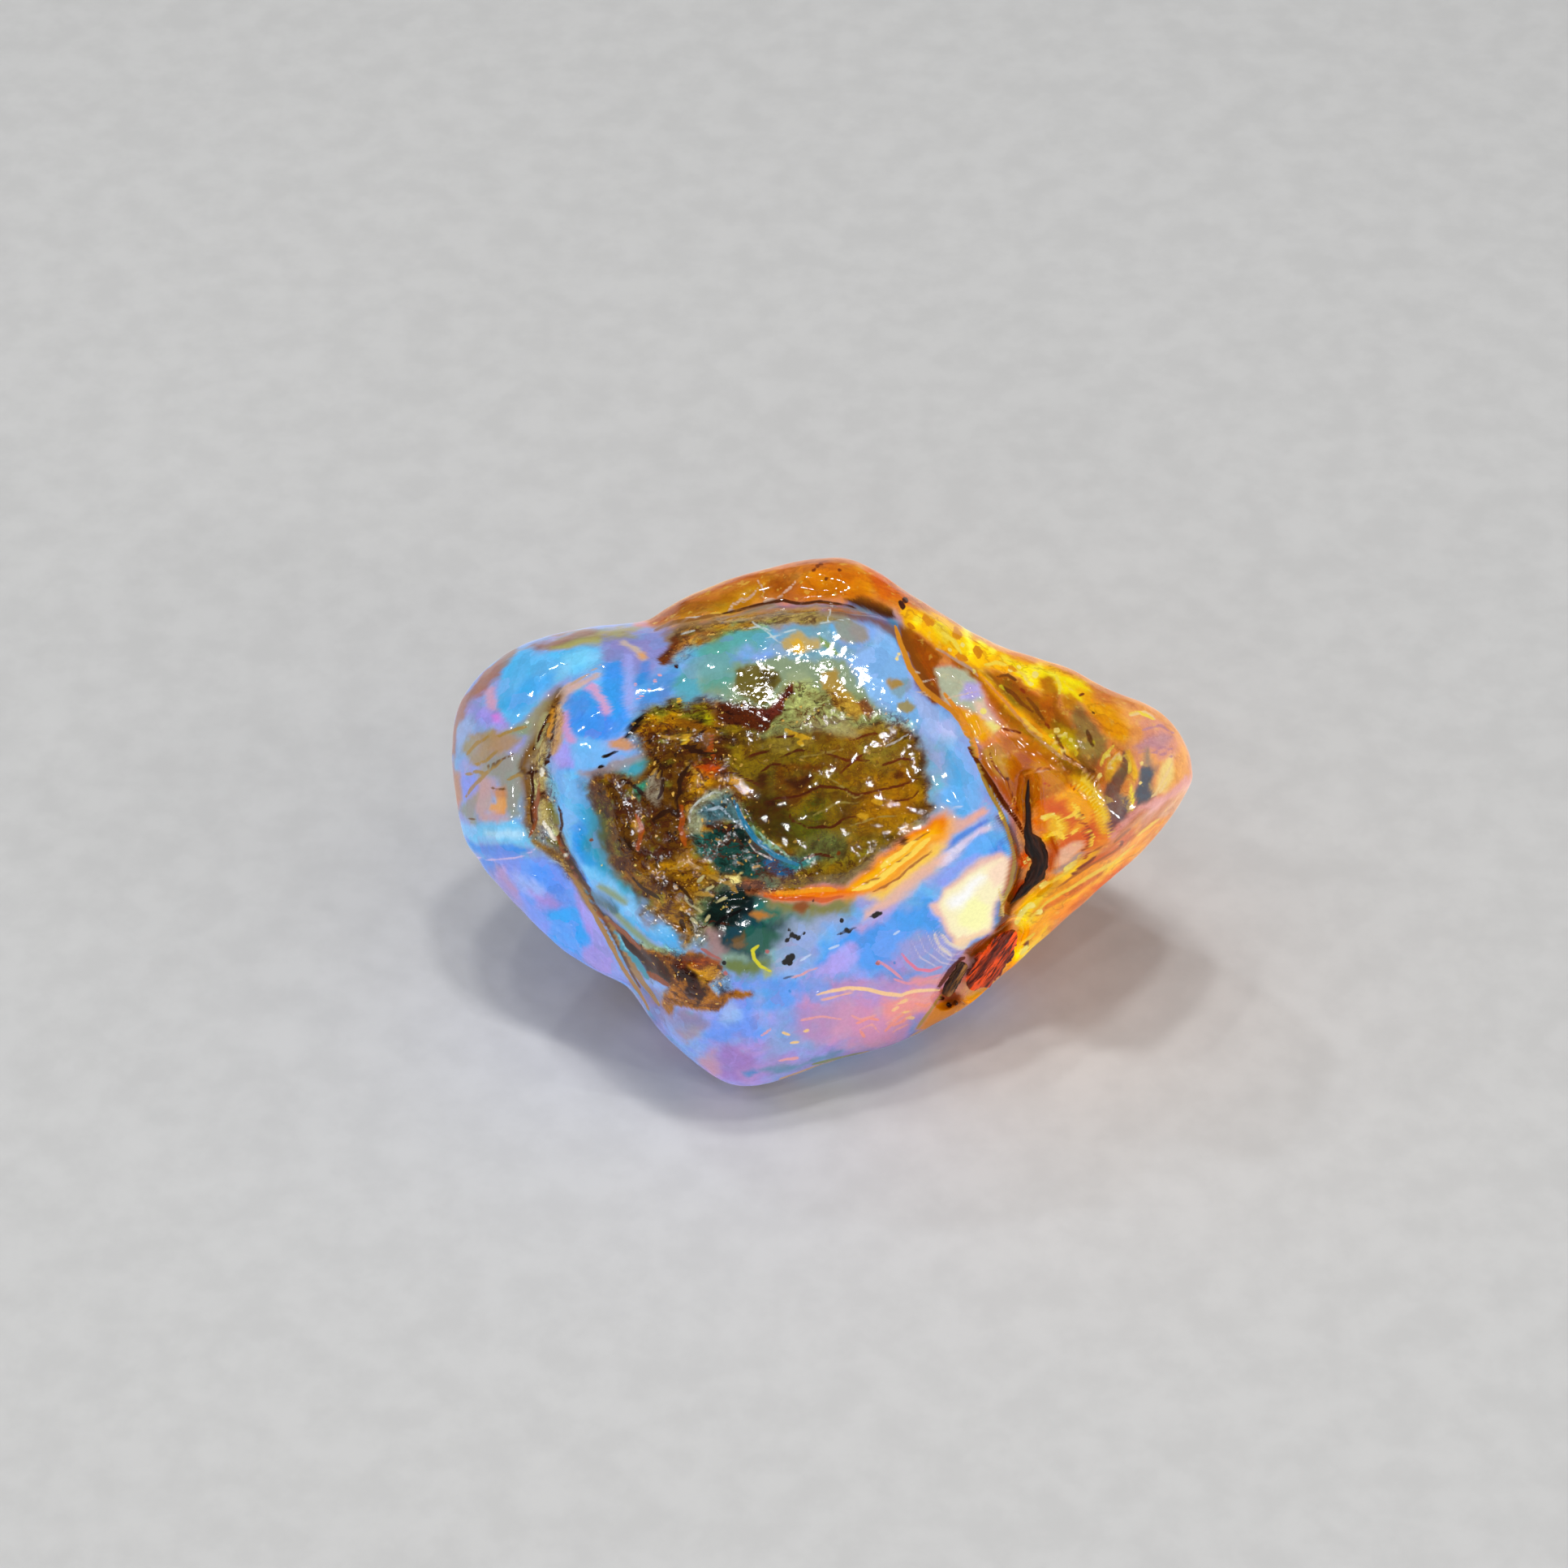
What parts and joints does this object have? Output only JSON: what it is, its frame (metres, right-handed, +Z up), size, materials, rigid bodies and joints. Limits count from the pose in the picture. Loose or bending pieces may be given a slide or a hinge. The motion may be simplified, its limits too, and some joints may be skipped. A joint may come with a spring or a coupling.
{
  "type": "polished blue amber nodule",
  "caption": "Polished nodule of fluorescent blue amber, a faceted lump of fossil resin with bark lodged in its crevices, resting on a ground flat.",
  "frame": {"origin": "under the middle of the stone's box, on the surface that its ground flat rests on", "axes": "+Z up, +X along the stone's length towards its golden lobe, -Y towards the viewer that its polished face looks at and up to"},
  "size_m": [0.06, 0.0356, 0.0347],
  "materials": {
    "amber": "polished resin, golden where clear, milky and fluorescing sky blue to lavender over the skin, with clouds of brown debris inside",
    "charred_bark": "black, charred, matt",
    "resin_soaked_bark": "red-brown, striped along the grain, soaked with resin",
    "brown_twig": "brown, ridged along its length"
  },
  "bodies": {
    "root": {"amber_nodule": "amber", "bark_splinter": "charred_bark", "bark_scrap": "resin_soaked_bark", "bark_twig": "brown_twig"}
  },
  "joints": []
}
